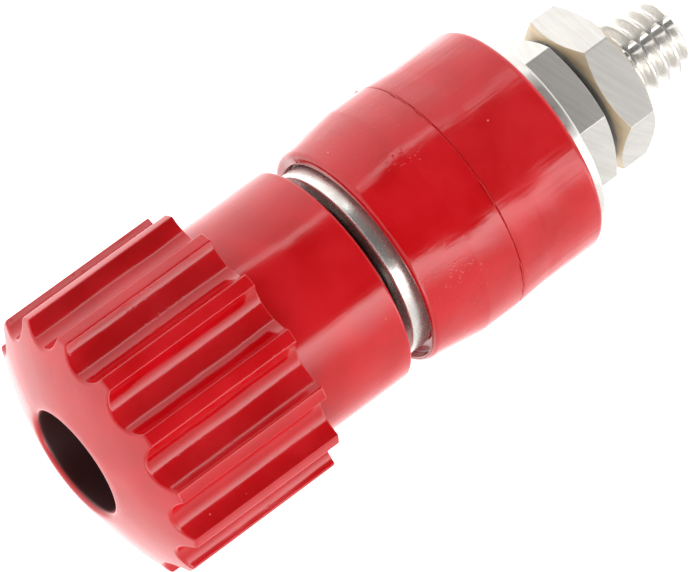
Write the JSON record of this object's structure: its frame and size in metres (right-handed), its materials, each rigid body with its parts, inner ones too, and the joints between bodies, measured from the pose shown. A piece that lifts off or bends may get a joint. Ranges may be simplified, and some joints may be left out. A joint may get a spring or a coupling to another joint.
{
  "type": "binding post",
  "caption": "Insulated panel binding post with a fluted screw-down knob, plug socket, wire clamp collar, insulating bushes, washer, hexagon nuts and a slotted rear stud.",
  "frame": {"origin": "on the post's axis, at the face of the front insulator that seats against the panel", "axes": "+Z along the post towards the knob; the saw cut in the stud runs nearly along Y; the cross hole for a wire runs along X"},
  "size_m": [0.0138, 0.0136, 0.0347],
  "materials": {
    "red_plastic": "gloss moulded red",
    "nickel_brass": "nickel plated, turned"
  },
  "bodies": {
    "post": {"stem": "nickel_brass", "front_insulator": "red_plastic"},
    "knob_carrier": {"knob_bush": "nickel_brass"},
    "knob": {"knob": "red_plastic"},
    "panel_clamp": {"rear_insulator": "red_plastic", "washer": "nickel_brass"},
    "mounting_nut": {"mounting_nut": "nickel_brass"},
    "terminal_nut": {"terminal_nut": "nickel_brass"}
  },
  "joints": [
    {"name": "knob_lift", "type": "slide", "parent": "post", "child": "knob_carrier", "axis": [0, 0, 1], "range_m": [0, 0.004]},
    {"name": "knob_turn", "type": "hinge", "parent": "knob_carrier", "child": "knob", "pos_m": [0, 0, 0.0115], "axis": [0, 0, 1], "range_deg": [0, 1440]},
    {"name": "clamp_slide", "type": "slide", "parent": "post", "child": "panel_clamp", "axis": [0, 0, -1], "range_m": [0, 0.0025]},
    {"name": "mounting_nut_turn", "type": "hinge", "parent": "panel_clamp", "child": "mounting_nut", "pos_m": [0, 0, -0.0065], "axis": [0, 0, -1], "range_deg": [0, 1285.72]},
    {"name": "terminal_nut_slide", "type": "slide", "parent": "mounting_nut", "child": "terminal_nut", "axis": [0, 0, -1], "range_m": [0, 0.001]}
  ],
  "couplings": [
    {"joint": "knob_turn", "follows": "knob_lift", "rad_per_m": 6283.2},
    {"joint": "mounting_nut_turn", "follows": "clamp_slide", "rad_per_m": 8976}
  ]
}
